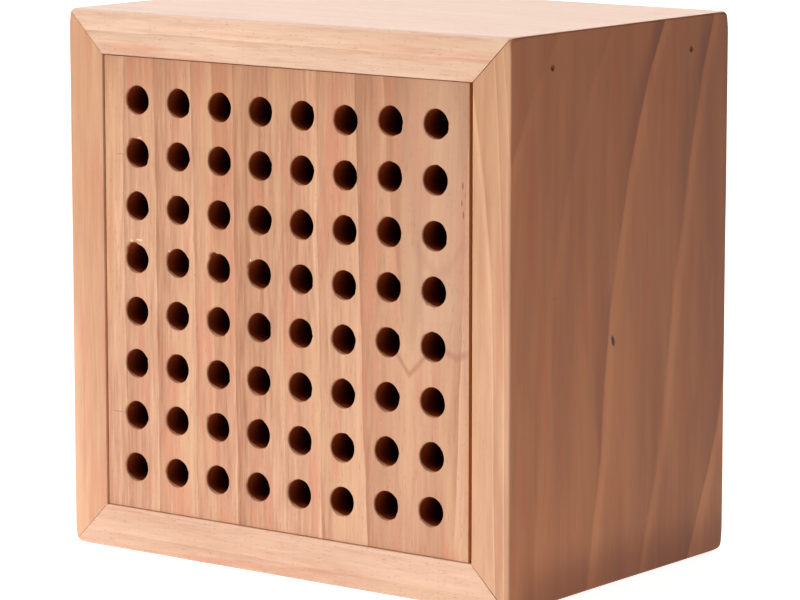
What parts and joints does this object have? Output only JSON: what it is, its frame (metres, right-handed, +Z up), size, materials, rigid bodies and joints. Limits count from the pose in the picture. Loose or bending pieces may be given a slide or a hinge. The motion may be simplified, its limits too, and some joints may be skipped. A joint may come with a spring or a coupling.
{
  "type": "insect hotel",
  "caption": "Small square wooden bee hotel: mitred box frame round a block drilled with a grid of nesting tunnels; the block slides out of the front.",
  "frame": {"origin": "middle of the underside of the case, on the surface it stands on", "axes": "+Z up, -Y out of the front with the tunnels, +X to the right seen from the front"},
  "size_m": [0.15, 0.102, 0.15],
  "materials": {
    "case_beech": "bare planed and sanded beech, pinkish tan, eased edges, short dark ray flecks",
    "block_beech": "bare beech with upright grain and redder growth-ring bands, tunnels dark inside",
    "panel_beech": "bare planed beech, less carefully sanded than the case",
    "brad_steel": "dull bright-drawn steel, browned by damp",
    "zinc_plated_steel": "zinc-plated pressed steel, faintly spangled"
  },
  "bodies": {
    "case": {"top_board": "case_beech", "bottom_board": "case_beech", "left_side_board": "case_beech", "right_side_board": "case_beech", "back_panel": "panel_beech", "hanger_plate": "zinc_plated_steel", "corner_brad_top_left_front": "brad_steel", "corner_brad_top_left_rear": "brad_steel", "corner_brad_top_right_front": "brad_steel", "corner_brad_top_right_rear": "brad_steel", "corner_brad_bottom_left_front": "brad_steel", "corner_brad_bottom_left_rear": "brad_steel", "corner_brad_bottom_right_front": "brad_steel", "corner_brad_bottom_right_rear": "brad_steel", "panel_pin_top": "brad_steel", "panel_pin_bottom": "brad_steel", "panel_pin_left_upper": "brad_steel", "panel_pin_left_middle": "brad_steel", "panel_pin_left_lower": "brad_steel", "panel_pin_right_upper": "brad_steel", "panel_pin_right_middle": "brad_steel", "panel_pin_right_lower": "brad_steel", "hanger_screw_left": "zinc_plated_steel", "hanger_screw_right": "zinc_plated_steel"},
    "nesting_block": {"nesting_block": "block_beech"}
  },
  "joints": [
    {"name": "nesting_block_slide", "type": "slide", "parent": "case", "child": "nesting_block", "axis": [0, -1, 0], "range_m": [0, 0.095]}
  ]
}
